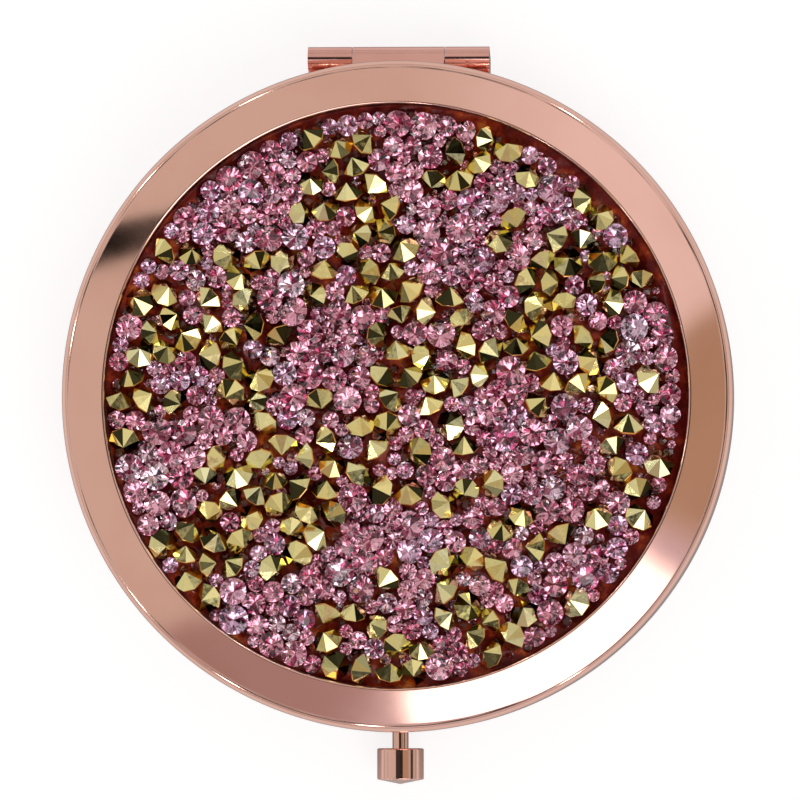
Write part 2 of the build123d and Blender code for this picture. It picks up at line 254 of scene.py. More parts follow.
def arc_points(centre, radius, start, end, steps):
    """Points (radius, height) on an arc, from start to end degrees."""
    out = []
    for i in range(steps + 1):
        a = math.radians(start + (end - start) * i / steps)
        out.append((centre[0] + radius * math.cos(a), centre[1] + radius * math.sin(a)))
    return out


def rounded(corners, steps=8):
    """Outline through (radius, height, fillet) corners, each rounded by an arc."""
    out = []
    for k, (radius, height, fillet) in enumerate(corners):
        here = Vector((radius, height))
        if not fillet:
            out.append((radius, height))
            continue
        back = (Vector(corners[k - 1][:2]) - here).normalized()
        ahead = (Vector(corners[k + 1][:2]) - here).normalized()
        half = back.angle(ahead) / 2
        centre = here + (back + ahead).normalized() * fillet / math.sin(half)
        start = here + back * fillet / math.tan(half) - centre
        turn = start.angle_signed(here + ahead * fillet / math.tan(half) - centre)
        for i in range(steps + 1):
            a = -turn * i / steps
            x = start.x * math.cos(a) - start.y * math.sin(a)
            y = start.x * math.sin(a) + start.y * math.cos(a)
            out.append((centre.x + x, centre.y + y))
    return out


def supported(outline, close=0.05):
    """The outline with a point beside each end of its long runs, so that arcs shade cleanly into flats."""
    out = [outline[0]]
    for a, b in zip(outline, outline[1:]):
        run = math.dist(a, b)
        if run > 6 * close:
            for share in (close / run, 1 - close / run):
                out.append((a[0] + (b[0] - a[0]) * share, a[1] + (b[1] - a[1]) * share))
        out.append(b)
    return out


def cut_away(shape, *tools):
    """Cut each tool's mesh out of a closed mesh, then mark its hard edges."""
    for tool in tools:
        cut = shape.modifiers.new("cut", "BOOLEAN")
        cut.operation = "DIFFERENCE"
        cut.solver = "EXACT"
        cut.object = tool
    result = bpy.data.meshes.new_from_object(shape.evaluated_get(bpy.context.evaluated_depsgraph_get()))
    shape.modifiers.clear()
    shape.data = result
    for tool in tools:
        bpy.data.objects.remove(tool)
    result.set_sharp_from_angle(angle=math.radians(24))
    return shape


def rod_mesh(name, centre, along, radius, low, high, sides=96):
    """A closed rod on an axis direction, for cutting, in mm."""
    along = Vector(along)
    ends = [Vector(centre) + along * low, Vector(centre) + along * high]
    points, faces = tube_mesh([ends[0], ends[1]], radius, sides)
    return mesh_object(name, points, faces, [])


def tube_mesh(path, radius, sides, closed=False):
    """Points and faces of a round tube along a list of points, all in mm."""
    path = [Vector(p) for p in path]
    count = len(path)
    points, faces = [], []
    side = None
    for k in range(count):
        back = path[(k - 1) % count] if closed or k else path[k]
        ahead = path[(k + 1) % count] if closed or k < count - 1 else path[k]
        run = (ahead - back).normalized()
        side = run.orthogonal() if side is None else side - run * side.dot(run)
        side.normalize()
        up = run.cross(side)
        for i in range(sides):
            a = 2 * math.pi * i / sides
            points.append(tuple((path[k] + (side * math.cos(a) + up * math.sin(a)) * radius) * MM))
    for k in range(count if closed else count - 1):
        for i in range(sides):
            j = (i + 1) % sides
            a, b = k * sides, ((k + 1) % count) * sides
            faces.append((a + i, a + j, b + j, b + i))
    if not closed:
        faces.append(tuple(reversed(range(sides))))
        faces.append(tuple((count - 1) * sides + i for i in range(sides)))
    return points, faces


# ---------- stones ----------


STONE_SIDES = 8
GIRDLE_FAR = 1.00329  # a girdle corner's distance from the mean of a CAD stone's corners, in radii
PAVILION = 0.86
GOLD_GROW = 1.16  # the stones touch, where the CAD's keep a gap
PINK_GROW = 1.08
UNEVEN = 0.03  # how far a corner may be off, in radii


def cad_stones(node):
    """Each stone of a CAD node: girdle centre, axis towards the table, way to a girdle corner, radius."""
    shape = bmesh.new()
    shape.from_mesh(NODES[node].data)
    bmesh.ops.remove_doubles(shape, verts=shape.verts, dist=2e-7)
    seen, found = set(), []
    for start in shape.verts:
        if start.index in seen:
            continue
        island, queue = [], [start]
        seen.add(start.index)
        while queue:
            corner = queue.pop()
            island.append(corner.co.copy())
            for edge in corner.link_edges:
                other = edge.other_vert(corner)
                if other.index not in seen:
                    seen.add(other.index)
                    queue.append(other)
        middle = sum(island, Vector()) / len(island)
        island.sort(key=lambda p: -(p - middle).length)
        apex = island[STONE_SIDES]
        axis = (middle - apex).normalized()
        radius = (island[0] - middle).length / GIRDLE_FAR
        centre = apex + axis * PAVILION * radius
        out = island[0] - centre
        out = (out - axis * out.dot(axis)).normalized()
        found.append((centre, axis, out, radius))
    shape.free()
    found.sort(key=lambda s: (round(s[0].x, 6), round(s[0].y, 6)))
    return found


def ring_points(count, radius, height, offset=0.0):
    angles = [2 * math.pi * (i + offset) / count for i in range(count)]
    return [(radius * math.cos(a), radius * math.sin(a), height) for a in angles]


def brilliant():
    """Cut stone, table up, radius 1: points and faces with a material index (0 crown, 1 pavilion)."""
    table = ring_points(8, 0.55, 0.28)
    star = ring_points(8, 0.76, 0.165, 0.5)
    girdle = ring_points(16, 1.0, 0.03)
    low = ring_points(16, 1.0, -0.03)
    half = ring_points(8, 0.46, -0.50, 0.5)
    points = table + star + girdle + low + half + [(0, 0, -PAVILION)]
    t, s, u, w, h, a = 0, 8, 16, 32, 48, 56
    faces, kinds = [tuple(range(8))], [0]
    for k in range(8):
        n, b = (k + 1) % 8, (k - 1) % 8
        faces.append((t + k, s + k, t + n))
        faces.append((t + k, s + b, u + 2 * k, s + k))
        faces.append((s + k, u + 2 * k, u + 2 * k + 1))
        faces.append((s + k, u + 2 * k + 1, u + (2 * k + 2) % 16))
        kinds += [0] * 4
        faces.append((h + k, w + 2 * k + 1, w + 2 * k))
        faces.append((h + k, w + (2 * k + 2) % 16, w + 2 * k + 1))
        faces.append((a, h + k, w + 2 * k, h + b))
        kinds += [1] * 3
    for j in range(16):
        n = (j + 1) % 16
        faces.append((u + j, w + j, w + n, u + n))
        kinds.append(0)
    return np.array(points), faces, kinds


def point_back():
    """Simple cut stone, radius 1: eight pavilion facets (1), a thin girdle and a crown (0)."""
    table = ring_points(8, 0.55, 0.28, 0.5)
    girdle = ring_points(8, 1.0, 0.04, 0.5)
    low = ring_points(8, 1.0, -0.035, 0.5)
    points = table + girdle + low + [(0, 0, -PAVILION)]
    faces, kinds = [tuple(range(8))], [0]
    for k in range(8):
        n = (k + 1) % 8
        faces += [(k, 8 + k, 8 + n, n), (8 + k, 16 + k, 16 + n, 8 + n), (16 + k, 24, 16 + n)]
        kinds += [0, 0, 1]
    return np.array(points), faces, kinds


def gem_mesh(name, stones, template, materials, jitter, grow, dice):
    """One mesh of many uneven stones, with a random value per stone and per facet for its material."""
    base, faces, kinds = template
    count = len(base)
    all_points, all_faces, all_kinds, tones, sparks = [], [], [], [], []
    for number, (centre, axis, out, radius) in enumerate(stones):
        side = axis.cross(out)
        turn = np.array([out, side, axis])
        loose = base + np.array([[dice.uniform(-jitter, jitter) for _ in range(3)] for _ in range(count)])
        points = (loose * radius * grow) @ turn + np.array(centre)
        all_points.append(points)
        all_faces += [tuple(number * count + i for i in f) for f in faces]
        all_kinds += kinds
        tone = dice.random()
        tones += [tone] * len(faces)
        sparks += [dice.random() for _ in faces]
    shape = mesh_object(name, np.concatenate(all_points), all_faces, materials, False, all_kinds)
    for key, values in (("tone", tones), ("spark", sparks)):
        shape.data.attributes.new(key, "FLOAT", "FACE").data.foreach_set("value", values)
    return shape


CHIP_COUNT = 700
CHIP_RADII = (0.34, 0.66)
CHIP_TRIES = 40000


def gap_stones(stones, dice):
    """Small stones for the gaps that the CAD's stones leave, as cad_stones gives them."""
    floor = min(s[0].z - PAVILION * s[3] for s in stones)
    middle = sum((s[0] for s in stones), Vector()) / len(stones)
    reach = max(math.hypot(s[0].x - middle.x, s[0].y - middle.y) for s in stones)
    taken = [(s[0].x, s[0].y, 0.66 * s[3]) for s in stones]
    found = []
    for _ in range(CHIP_TRIES):
        angle, far = dice.uniform(0, 2 * math.pi), reach * math.sqrt(dice.random())
        x, y = middle.x + far * math.cos(angle), middle.y + far * math.sin(angle)
        radius = dice.uniform(*CHIP_RADII) * MM
        near = np.array(taken)
        if (np.hypot(near[:, 0] - x, near[:, 1] - y) < near[:, 2] + radius).any():
            continue
        lean = Matrix.Rotation(dice.uniform(0, 0.7), 3, (math.cos(angle), math.sin(angle), 0))
        height = floor + PAVILION * radius + dice.uniform(0.10, 0.60) * MM
        found.append((Vector((x, y, height)), lean @ Vector((0, 0, 1)), lean @ Vector((1, 0, 0)), radius))
        taken.append((x, y, 0.9 * radius))
        if len(found) == CHIP_COUNT:
            break
    return found


# ---------- materials ----------


def attribute(g, name):
    return g.add("Attribute", attribute_name=name).outputs["Fac"]


def crystal_foil():
    """Foiled back of a pink stone, seen through its crown: pink, with lilac and pale stones among them, and
    some facets in painted shade, dark plum.
    """
    material, g, look = new_material("pink_foil")
    stops = [(0.0, (0.93, 0.64, 0.73)), (0.6, (0.96, 0.72, 0.79)), (0.88, (0.88, 0.74, 0.87)),
             (1.0, (0.97, 0.87, 0.91))]
    tone = g.ramp(attribute(g, "tone"), stops)
    # Painted shade: about a quarter of the facets turn dark plum, standing in for facets that face dark
    # surroundings.
    deep = g.mix(g.ease(attribute(g, "spark"), 0.70, 0.80), tone, (0.34, 0.07, 0.14))
    look("Base Color", deep)
    look("Metallic", 1.0)
    look("Roughness", g.ease(g.noise(g.where(), 0.3), 0.3, 0.7, 0.04, 0.12))
    return material


def crystal_crown():
    """Clear cut crown over the foil."""
    material, g, look = new_material("pink_crown")
    tone = g.ramp(attribute(g, "tone"), [(0.0, (1.0, 0.86, 0.90)), (1.0, (1.0, 0.93, 0.97))])
    look("Base Color", tone)
    look("Transmission Weight", 1.0)
    look("IOR", 1.56)
    look("Roughness", g.ease(g.noise(g.where(), 0.4), 0.45, 0.75, 0.0, 0.05))
    return material


def gold_lacquer():
    """Olive-gold lacquer on the back of a point-back stone, with painted shade: some facets darker olive,
    some near black.
    """
    material, g, look = new_material("gold_lacquer")
    place = g.where()
    stops = [(0.0, (0.96, 0.80, 0.32)), (0.6, (0.98, 0.88, 0.40)), (1.0, (0.95, 0.91, 0.52))]
    tone = g.ramp(attribute(g, "tone"), stops)
    spark = attribute(g, "spark")
    # Painted shade: a random share of facets turn darker olive, and about a fifth turn near black, standing
    # in for facets that face dark surroundings.
    painted_facet_shade = g.mix(g.ease(spark, 0.2, 0.7, 0.0, 0.4), tone, (0.62, 0.54, 0.20))
    painted_facet_shade = g.mix(g.ease(spark, 0.79, 0.83), painted_facet_shade, (0.05, 0.045, 0.018))
    speck = g.noise(place, 0.12, 3.0, 0.7)
    look("Base Color", g.mix(g.ease(speck, 0.62, 0.75, 0.0, 0.5), painted_facet_shade, (0.30, 0.22, 0.05)))
    look("Metallic", 1.0)
    look("Roughness", g.ease(g.noise(place, 0.5, 3.0), 0.3, 0.7, 0.07, 0.18))
    look("Normal", g.bump(g.noise(place, 0.25, 2.0), 0.005, 0.35))
    return material


def amber_glass():
    """Amber front of a gold stone, which shows only at its edge."""
    material, g, look = new_material("amber_glass")
    warm = g.mix(attribute(g, "spark"), (0.75, 0.27, 0.03), (0.90, 0.48, 0.08))
    look("Base Color", warm)
    look("Roughness", g.ease(g.noise(g.where(), 0.3), 0.3, 0.7, 0.05, 0.2))
    look("Metallic", 0.55)
    look("Coat Weight", 1.0)
    look("Coat Roughness", 0.03)
    return material


def resin():
    """Dark rust-red resin of uneven tone, with bright orange patches that are painted glints of light through
    it.
    """
    material, g, look = new_material("rust_resin")
    place = g.where()
    blotch_and_glint = g.noise(place, 2.6, 4.0, 0.6)
    # The dark reds are the resin's own uneven tone; the upper orange stops are painted glints.
    stops = [(0.30, (0.065, 0.005, 0.005)), (0.50, (0.16, 0.013, 0.009)), (0.62, (0.38, 0.050, 0.016)),
             (0.72, (0.68, 0.21, 0.04))]
    look("Base Color", g.ramp(blotch_and_glint, stops))
    look("Roughness", g.ease(g.noise(place, 0.8, 3.0), 0.35, 0.7, 0.06, 0.28))
    look("Specular IOR Level", 0.18)
    look("Normal", g.bump(g.noise(place, 0.7, 3.0), 0.10, 0.7))
    return material


def plain_matte(name, light, dark, size_mm, rough, depth_mm):
    """Matte material with a mottled tone and a fine grain."""
    material, g, look = new_material(name)
    place = g.where()
    mottle = g.noise(place, size_mm, 4.0, 0.6)
    look("Base Color", g.mix(g.ease(mottle, 0.3, 0.7), dark, light))
    look("Roughness", g.ease(mottle, 0.2, 0.8, rough * 0.9, min(1.0, rough * 1.1)))
    look("Normal", g.bump(g.noise(place, size_mm * 0.2, 3.0, 0.7), depth_mm, 0.6))
    return material


def mirror_glass():
    """Silvered glass: a near-perfect mirror with faint dust and wipe marks."""
    material, g, look = new_material("mirror_silver")
    place = g.where()
    wipe = g.noise(g.stretch(place, (1.0, 6.0, 1.0)), 6.0, 3.0, 0.6)
    dust = g.noise(place, 0.3, 2.0, 0.8)
    dusty = g.ease(dust, 0.66, 0.8, 0.0, 0.25)
    look("Base Color", g.mix(dusty, (0.90, 0.91, 0.92), (0.80, 0.80, 0.79)))
    look("Metallic", 1.0)
    look("Roughness", g.ease(wipe, 0.45, 0.8, 0.008, 0.05))
    return material


def velour():
    """Short-pile fabric with a soft sheen and brushed patches."""
    material, g, look = new_material("velour")
    place = g.where()
    nap = g.noise(place, 3.5, 3.0, 0.6)
    look("Base Color", g.mix(g.ease(nap, 0.35, 0.7), (0.84, 0.64, 0.57), (0.93, 0.78, 0.71)))
    look("Roughness", 0.95)
    look("Sheen Weight", 0.8)
    look("Sheen Roughness", 0.4)
    pile = g.noise(place, 0.14, 2.0, 0.8)
    look("Normal", g.bump(pile, 0.12, 0.8, g.bump(nap, 0.2, 0.5)))
    return material


def satin(name, light, dark, threads_mm, along):
    """Satin weave: fine glossy threads one way, with thicker places along them."""
    material, g, look = new_material(name)
    place = g.where()
    threads = g.wave(place, threads_mm, along, 0.6)
    drawn = (1.0, 14.0, 1.0) if along == "X" else (14.0, 1.0, 1.0)
    slub = g.noise(g.stretch(place, drawn), 1.2, 3.0, 0.6)
    tone = g.mix(g.ease(slub, 0.35, 0.7, 0.0, 0.55), light, dark)
    look("Base Color", g.mix(g.math("MULTIPLY", threads, 0.25), tone, dark))
    look("Roughness", g.ease(threads, 0.0, 1.0, 0.24, 0.38))
    look("Sheen Weight", 0.2)
    look("Normal", g.bump(threads, 0.03, 0.5))
    return material


def pressed_powder():
    """Pressed face powder: very matte, with fine shimmer and soft mottling."""
    material, g, look = new_material("pressed_powder")
    place = g.where()
    mottle = g.noise(place, 2.0, 5.0, 0.65)
    tone = g.mix(g.ease(mottle, 0.3, 0.72), (0.70, 0.46, 0.34), (0.82, 0.58, 0.45))
    shimmer = g.noise(place, 0.08, 1.0, 0.9)
    look("Base Color", g.mix(g.ease(shimmer, 0.68, 0.76, 0.0, 0.7), tone, (0.98, 0.84, 0.72)))
    look("Roughness", g.ease(shimmer, 0.66, 0.78, 0.92, 0.4))
    look("Normal", g.bump(g.noise(place, 0.18, 4.0, 0.8), 0.05, 0.7))
    return material


rose = polished_metal("rose_gold", (0.92, 0.57, 0.47), (0.88, 0.53, 0.43), 0.085)
# The hinge's rose gold is a darker copy of the case's: painted shade.
rose_hinge_painted_shade = polished_metal("rose_gold_hinge_painted_shade", (0.88, 0.49, 0.42), (0.83, 0.44, 0.38), 0.11)
rose_inside = polished_metal("rose_gold_inside", (0.92, 0.59, 0.49), (0.87, 0.53, 0.43), 0.14)
steel = brushed_metal("latch_steel", (0.70, 0.70, 0.71), 0.28, (1.0, 1.0, 9.0))
steel_round = polished_metal("pin_steel", (0.74, 0.73, 0.72), (0.66, 0.65, 0.64), 0.20)
spring_wire = polished_metal("spring_wire", (0.62, 0.62, 0.64), (0.50, 0.50, 0.52), 0.22)
pan_metal = brushed_metal("pan_aluminium", (0.82, 0.82, 0.83), 0.32, (1.0, 12.0, 1.0))
adhesive = plain_matte("adhesive_foam", (0.80, 0.79, 0.74), (0.68, 0.67, 0.62), 1.0, 0.8, 0.1)
backing = plain_matte("inlay_backing", (0.16, 0.03, 0.02), (0.08, 0.01, 0.01), 1.5, 0.7, 0.05)
rust = resin()

DRESS = {
    "base_hinge_bracket": rose_hinge_painted_shade,
    "lid_hinge_leaf": rose_hinge_painted_shade,
    "button_cap": rose,
    "button_stem": rose,
    "well_frame": rose_inside,
    "mirror_bezel": rose_inside,
    "hinge_pin": steel_round,
    "button_bush": steel_round,
    "latch_bracket": steel,
    "latch_hook": steel,
    "striker": steel,
    "powder_pan": pan_metal,
    "pan_adhesive": adhesive,
    "mirror_adhesive": adhesive,
    "stone_backing": backing,
    "mirror": mirror_glass(),
}
for node_name, finish in DRESS.items():
    for socket in NODES[node_name].material_slots:
        socket.material = finish


# ---------- the case ----------


SHEET = 0.7
BASE_CORNER_R = 3.0
EDGE_R = 0.15
TRAY_R = 30.4
TRAY_DEPTH = 1.8
RIM_FALL = 1.15
RIM_CROWN = 0.10
RIM_SHEET = 0.6
RIM_ROLL_R = 1.3
RIM_LIP_R = 0.22
NOTCH_R = 1.35
NOTCH_HALF_W = 9.65
BUSH_R = 1.2
CASE_AROUND = 576


def hinge_axis():
    """Centre of the hinge pin, in mm."""
    low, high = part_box("hinge_pin")
    return (0.0, (low.y + high.y) / 2 / MM, (low.z + high.z) / 2 / MM)


def notch_tool():
    return rod_mesh("notch", hinge_axis(), (1, 0, 0), NOTCH_R, -NOTCH_HALF_W, NOTCH_HALF_W)


def rim_outline(reach, top):
    """The lid's outside from the wall's top to the tray's lip: roll, crowned slope, lip."""
    inner, outer = Vector((TRAY_R, top)), Vector((reach, top - RIM_FALL))
    chord = inner - outer
    crown_r = (chord.length ** 2 / 4 + RIM_CROWN**2) / (2 * RIM_CROWN)
    outward = Vector((-chord.y, chord.x)).normalized()
    outward = outward if outward.y > 0 else -outward
    crown = (inner + outer) / 2 - outward * (crown_r - RIM_CROWN)
    roll_x, lip_x = reach - RIM_ROLL_R, TRAY_R + RIM_LIP_R
    roll = Vector((roll_x, crown.y + math.sqrt((crown_r - RIM_ROLL_R) ** 2 - (roll_x - crown.x) ** 2)))
    lip = Vector((lip_x, crown.y + math.sqrt((crown_r - RIM_LIP_R) ** 2 - (lip_x - crown.x) ** 2)))
    start = math.degrees(math.atan2(roll.y - crown.y, roll.x - crown.x))
    end = math.degrees(math.atan2(lip.y - crown.y, lip.x - crown.x))
    outline = arc_points(roll, RIM_ROLL_R, 0, start, 16)
    outline += arc_points(crown, crown_r, start, end, 28)[1:]
    return outline + arc_points(lip, RIM_LIP_R, end, 180, 8)[1:]


def lid_case():
    """Stamped lid in one sheet: wall, rolled edge, crowned slope and sunken tray."""
    low, high = (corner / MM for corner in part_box("lid_shell"))
    reach, top = high.x, rim_top()
    floor, under = top - TRAY_DEPTH, top - TRAY_DEPTH - RIM_SHEET
    inside = rounded([
        (0.0, under, 0),
        (TRAY_R + RIM_SHEET, under, 0),
        (TRAY_R + RIM_SHEET, top - RIM_SHEET - 0.05, 0),
        (reach - SHEET, top - RIM_FALL - RIM_SHEET + 0.15, RIM_ROLL_R - SHEET),
        (reach - SHEET, low.z, EDGE_R),
        (reach, low.z, EDGE_R),
        (reach, top, 0),
    ])
    outline = inside[:-1] + rim_outline(reach, top) + [(TRAY_R, floor), (0.0, floor)]
    points, faces = turned_mesh(supported(outline), CASE_AROUND)
    return cut_away(mesh_object("lid_case", points, faces, [rose]), notch_tool())


def base_case():
    """Stamped base tray with a rounded bottom corner, notched for the knuckles and bored for the bush."""
    low, high = (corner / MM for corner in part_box("base_shell"))
    reach = high.x
    outline = rounded([
        (0.0, low.z, 0),
        (reach, low.z, BASE_CORNER_R),
        (reach, high.z, EDGE_R),
        (reach - SHEET, high.z, EDGE_R),
        (reach - SHEET, low.z + SHEET, BASE_CORNER_R - SHEET),
        (0.0, low.z + SHEET, 0),
    ], 18)
    points, faces = turned_mesh(supported(outline), CASE_AROUND)
    stem_low, stem_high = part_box("button_stem")
    middle = (stem_low.z + stem_high.z) / 2 / MM
    bore = rod_mesh("bore", (0, 0, middle), (0, 1, 0), BUSH_R, -reach - 1, -reach + 2)
    return cut_away(mesh_object("base_case", points, faces, [rose]), notch_tool(), bore)


def rim_top():
    """Height of the corner that the tray's lip rounds off, in mm."""
    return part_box("stone_backing")[0].z / MM + TRAY_DEPTH


place_piece(lid_case(), "lid", "rose_gold", "lid_shell")
place_piece(base_case(), "base", "rose_gold", "base_shell")


# ---------- the inlay ----------


dice = random.Random(20)
gold = cad_stones("gold_stones")
pink = cad_stones("pink_stones")
chips = gap_stones(gold + pink, dice)

gold_looks = [amber_glass(), gold_lacquer()]
gold_gems = gem_mesh("gold_gems", gold, point_back(), gold_looks, UNEVEN, GOLD_GROW, dice)
place_piece(gold_gems, "lid", "gold_crystal", "gold_stones")
pink_looks = [crystal_crown(), crystal_foil()]
pink_gems = gem_mesh("pink_gems", pink, brilliant(), pink_looks, UNEVEN, PINK_GROW, dice)
place_piece(pink_gems, "lid", "pink_crystal", "pink_stones")
pink_chips = gem_mesh("pink_gem_chips", chips, brilliant(), pink_looks, UNEVEN, PINK_GROW, dice)
place_piece(pink_chips, "lid", "pink_crystal")


CONE = PAVILION**2 / (1 + PAVILION**2)  # squared cosine of the angle from a stone's axis to its pavilion


def resin_surface():
    """The resin: its top climbs the stones and the tray's wall a little, and its underside is flat."""
    low, high = (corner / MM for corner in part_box("resin_bed"))
    reach = high.x
    step = 0.25
    count = int(2 * reach / step) + 2
    ticks = np.linspace(-reach, reach, count)
    x, y = np.meshgrid(ticks, ticks, indexing="ij")
    far = np.hypot(x, y)
    around = np.maximum(np.abs(x), np.abs(y)) / np.maximum(far, 1e-6)
    x, y = x * around, y * around
    far = np.hypot(x, y)
    near = np.full(x.shape, 1e3)
    roof = np.full(x.shape, 1e3)
    grown = [(s, GOLD_GROW) for s in gold] + [(s, PINK_GROW) for s in pink + chips]
    for (centre, axis, _, radius), grow in grown:
        size = radius / MM
        away = np.hypot(x - centre.x / MM, y - centre.y / MM)
        near = np.minimum(near, away - 0.85 * size)
        if axis.z > 0.5:
            tip = (centre - axis * PAVILION * radius * grow) / MM
            along = (x - tip.x) * axis.x + (y - tip.y) * axis.y
            spread = (x - tip.x) ** 2 + (y - tip.y) ** 2
            steep = axis.z**2 - CONE
            root = np.sqrt(np.maximum((axis.z * along) ** 2 - steep * (along**2 - CONE * spread), 0))
            roof = np.minimum(roof, tip.z - 0.08 + (root - axis.z * along) / steep)
    climb = 0.30 * np.exp(-np.maximum(near, 0) / 0.2) + 0.25 * np.exp(-(reach - far) / 0.25)
    z = np.maximum(np.minimum(high.z - 0.12 + climb, roof), low.z + 0.01)
    top = np.stack([x, y, z], axis=-1).reshape(-1, 3)
    floor = np.stack([x, y, np.full(x.shape, low.z + 0.02)], axis=-1).reshape(-1, 3)
    faces = []
    for i in range(count - 1):
        for j in range(count - 1):
            a = i * count + j
            faces.append((a, a + count, a + count + 1, a + 1))
    edge = [i * count for i in range(count)] + [(count - 1) * count + j for j in range(1, count)]
    edge += [i * count + count - 1 for i in range(count - 2, -1, -1)] + list(range(count - 2, 0, -1))
    size = len(top)
    rim = floor[edge]
    for k in range(len(edge)):
        n = (k + 1) % len(edge)
        faces.append((edge[n], edge[k], size + k, size + n))
    faces.append(tuple(size + k for k in reversed(range(len(edge)))))
    return mesh_object("resin_meniscus", np.concatenate([top, rim]) * MM, faces, [rust])


place_piece(resin_surface(), "lid", "resin", "resin_bed")


# ---------- powder and puff ----------


def fan_relief(radius, angle):
    """Height in mm of the powder's pressed pattern: a scalloped border round shallow rays."""
    scallop = 24.6 + 0.9 * abs(math.cos(12 * angle))
    groove = -0.42 * math.exp(-((radius - scallop) / 0.26) ** 2)
    line = -0.30 * math.exp(-((radius - 22.6) / 0.22) ** 2)
    outer_share = max(0.0, min(1.0, (radius - 22.9) / 0.5, (scallop - 0.5 - radius) / 0.4))
    inner_share = max(0.0, min(1.0, (radius - 6) / 4, (22 - radius) / 0.8))
    rays = 0.22 * math.cos(48 * angle) * outer_share
    return groove + line + rays + 0.12 * math.cos(24 * angle + 0.25 * radius) * inner_share


def powder():
    low, high = (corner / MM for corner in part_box("powder_cake"))
    reach, top = high.x, high.z
    outline = [(0.0, low.z + 0.01), (reach - 0.4, low.z + 0.01), (reach, low.z + 0.4), (reach, top - 0.5)]
    outline += arc_points((reach - 0.5, top - 0.5), 0.5, 0, 90, 6)[1:]
    outline += [(r, top) for r in np.arange(reach - 0.7, 0.3, -0.16)] + [(0.0, top)]

    def pressed(radius, height, angle):
        if height < top - 0.01 or radius < 0.5:
            return radius, height
        return radius, height + min(0.0, fan_relief(radius, angle) - 0.12)

    points, faces = turned_mesh(outline, 480, pressed)
    faces = [face[::-1] for face in faces]
    return mesh_object("pressed_powder", points, faces, [pressed_powder()])


place_piece(powder(), "base", "powder", "powder_cake")


CLOTH_SCALE = 10.0  # the cover is blown up at ten times its size
VOXEL = 0.6
SEAM_R = 20.2
PUFF_CAP = 1.2
CLOTH_FRAMES = 20


def swelled(shape, held):
    """Remesh a closed shape and blow it up with cloth pressure. held says which points stay, in mm."""
    remesh = shape.modifiers.new("remesh", "REMESH")
    remesh.mode = "VOXEL"
    remesh.voxel_size = VOXEL * MM * CLOTH_SCALE
    shape.data = bpy.data.meshes.new_from_object(shape.evaluated_get(bpy.context.evaluated_depsgraph_get()))
    shape.modifiers.clear()
    before = np.array([v.co for v in shape.data.vertices]) / (MM * CLOTH_SCALE)
    seam = shape.vertex_groups.new(name="seam")
    seam.add([i for i, point in enumerate(before) if held(point)], 1.0, "REPLACE")
    cloth = shape.modifiers.new("cloth", "CLOTH")
    settings = cloth.settings
    settings.quality = 6
    settings.mass = 0.25
    settings.tension_stiffness = 15
    settings.compression_stiffness = 15
    settings.shear_stiffness = 7.5
    settings.bending_stiffness = 0.4
    settings.use_pressure = True
    settings.uniform_pressure_force = 0.8
    settings.shrink_min = -0.045
    settings.vertex_group_mass = "seam"
    settings.effector_weights.gravity = 0.0
    for step in range(1, CLOTH_FRAMES + 1):
        bpy.context.scene.frame_set(step)
    result = bpy.data.meshes.new_from_object(shape.evaluated_get(bpy.context.evaluated_depsgraph_get()))
    shape.modifiers.clear()
    shape.vertex_groups.clear()
    bpy.context.scene.frame_set(1)
    moved = np.array([v.co for v in result.vertices]) / (MM * CLOTH_SCALE) - before
    length = np.maximum(np.linalg.norm(moved, axis=1), 1e-9)
    moved *= (PUFF_CAP * np.tanh(length / PUFF_CAP) / length)[:, None]
    result.vertices.foreach_set("co", ((before + moved) * MM).ravel())
    shape.data = result
    return shape


def refined(shape, levels):
    """Apply a subdivision to a mesh."""
    smooth = shape.modifiers.new("subdivide", "SUBSURF")
    smooth.levels = levels
    shape.data = bpy.data.meshes.new_from_object(shape.evaluated_get(bpy.context.evaluated_depsgraph_get()))
    shape.modifiers.clear()
    shape.data.shade_smooth()


def puff_body():
    """Velour pad: a stuffed cover, sewn down in a ring under the satin's edge, with a short raised pile."""
    low, high = (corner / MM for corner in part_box("puff_pad"))
    under, reach, top = low.z + 0.02, high.x - 0.45, high.z - 0.6
    outline = [(0.0, under)] + [(r, under) for r in np.linspace(2, reach - 0.9, 12)]
    outline += [(reach - 0.3, under + 0.4), (reach, under + 1.1)]
    outline += [(reach, top - 0.9), (reach - 0.2, top - 0.3)]
    outline += [(r, top) for r in np.linspace(reach - 0.7, 2, 14)] + [(0.0, top)]
    points, faces = turned_mesh(outline, 128)
    shape = mesh_object("puff_velour", points * CLOTH_SCALE, faces, [velour()])

    def held(point):
        far = math.hypot(point[0], point[1])
        sewn = abs(far - SEAM_R) < 0.4 and point[2] > top - 0.4
        return sewn or (far < reach - 2.2 and point[2] < under + 0.1)

    refined(swelled(shape, held), 2)
    moved = []
    for place, normal in [(point.co / MM, point.normal.copy()) for point in shape.data.vertices]:
        pile = 0.055 * noise.noise(place * 3.1) + 0.05 * noise.noise(place * 1.3 + Vector((9, 0, 0)))
        place += normal * pile
        moved += [place.x * MM, place.y * MM, max(place.z, low.z - 0.01) * MM]
    shape.data.vertices.foreach_set("co", moved)
    shape.data.update()
    return shape


pad = puff_body()
place_piece(pad, "base", "velour", "puff_pad")
pad_surface = BVHTree.FromObject(pad, bpy.context.evaluated_depsgraph_get())


def pad_height(x, y):
    """Height in mm of the stuffed pad's upper side."""
    hit = pad_surface.ray_cast(Vector((x * MM, y * MM, 1.0)), Vector((0, 0, -1)))[0]
    return hit.z / MM


